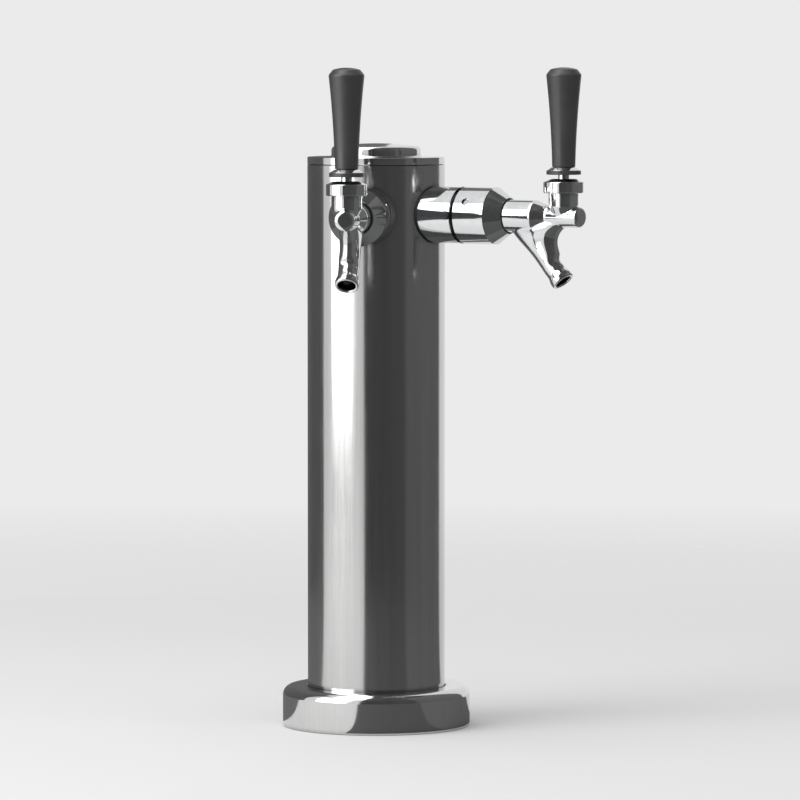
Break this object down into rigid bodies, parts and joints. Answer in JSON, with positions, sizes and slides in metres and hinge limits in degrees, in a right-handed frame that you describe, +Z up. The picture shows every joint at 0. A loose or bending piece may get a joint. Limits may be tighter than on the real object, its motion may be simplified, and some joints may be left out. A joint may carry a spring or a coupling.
{
  "type": "beer tap tower",
  "caption": "Round steel counter column with angled chrome beer faucets, black lever knobs, a flat cap and a low round base cover.",
  "frame": {"origin": "centre of the four flange holes on the plane where the base gasket meets the counter, on the column's axis", "axes": "+Z up along the column, -Y towards the front between the two faucets, +X to the viewer's right"},
  "size_m": [0.1514, 0.1658, 0.3657],
  "materials": {
    "satin_steel": "satin",
    "polished_steel": "polished",
    "chrome_plate": "polished",
    "plain_steel": "satin",
    "brass_raw": "satin",
    "black_rubber": "matte",
    "black_plastic": "satin",
    "white_plastic": "satin",
    "foam": "matte"
  },
  "bodies": {
    "tower": {"base_gasket": "black_rubber", "mounting_flange": "plain_steel", "column_tube": "satin_steel", "insulation_sleeve": "foam", "shank_gasket_left": "black_rubber", "shank_collar_left": "chrome_plate", "shank_left": "chrome_plate", "shank_backing_washer_left": "plain_steel", "shank_lock_nut_left": "brass_raw", "shank_elbow_left": "plain_steel", "beer_tube_left": "plain_steel", "coupling_nut_left": "chrome_plate", "faucet_gasket_left": "black_rubber", "faucet_body_left": "chrome_plate", "friction_ring_left": "white_plastic", "bonnet_left": "chrome_plate", "shank_gasket_right": "black_rubber", "shank_collar_right": "chrome_plate", "shank_right": "chrome_plate", "shank_backing_washer_right": "plain_steel", "shank_lock_nut_right": "brass_raw", "shank_elbow_right": "plain_steel", "beer_tube_right": "plain_steel", "coupling_nut_right": "chrome_plate", "faucet_gasket_right": "black_rubber", "faucet_body_right": "chrome_plate", "friction_ring_right": "white_plastic", "bonnet_right": "chrome_plate"},
    "lever_left": {"lever_left": "chrome_plate", "lever_washer_left": "black_plastic", "tap_knob_left": "black_plastic", "knob_insert_left": "brass_raw"},
    "shaft_left": {"faucet_shaft_left": "plain_steel", "seat_washer_left": "black_rubber", "shaft_nut_left": "brass_raw"},
    "lever_right": {"lever_right": "chrome_plate", "lever_washer_right": "black_plastic", "tap_knob_right": "black_plastic", "knob_insert_right": "brass_raw"},
    "shaft_right": {"faucet_shaft_right": "plain_steel", "seat_washer_right": "black_rubber", "shaft_nut_right": "brass_raw"},
    "cap": {"top_cap": "polished_steel", "cap_seal": "black_rubber"},
    "cover": {"base_cover": "polished_steel"}
  },
  "joints": [
    {"name": "lever_tilt_left", "type": "hinge", "parent": "tower", "child": "lever_left", "pos_m": [-0.06474, -0.10163, 0.2966], "axis": [0.8434, -0.5373, 0], "range_deg": [0, 22]},
    {"name": "shaft_slide_left", "type": "slide", "parent": "tower", "child": "shaft_left", "axis": [0.5373, 0.8434, 0], "range_m": [0, 0.006]},
    {"name": "lever_tilt_right", "type": "hinge", "parent": "tower", "child": "lever_right", "pos_m": [0.06474, -0.10163, 0.2966], "axis": [0.8434, 0.5373, 0], "range_deg": [0, 22]},
    {"name": "shaft_slide_right", "type": "slide", "parent": "tower", "child": "shaft_right", "axis": [-0.5373, 0.8434, 0], "range_m": [0, 0.006]},
    {"name": "cap_lift", "type": "slide", "parent": "tower", "child": "cap", "axis": [0, 0, 1], "range_m": [0, 0.03]},
    {"name": "cover_lift", "type": "slide", "parent": "tower", "child": "cover", "axis": [0, 0, 1], "range_m": [0, 0.24]}
  ],
  "couplings": [
    {"joint": "shaft_slide_left", "follows": "lever_tilt_left", "m_per_rad": 0.013171},
    {"joint": "shaft_slide_right", "follows": "lever_tilt_right", "m_per_rad": 0.013171}
  ]
}
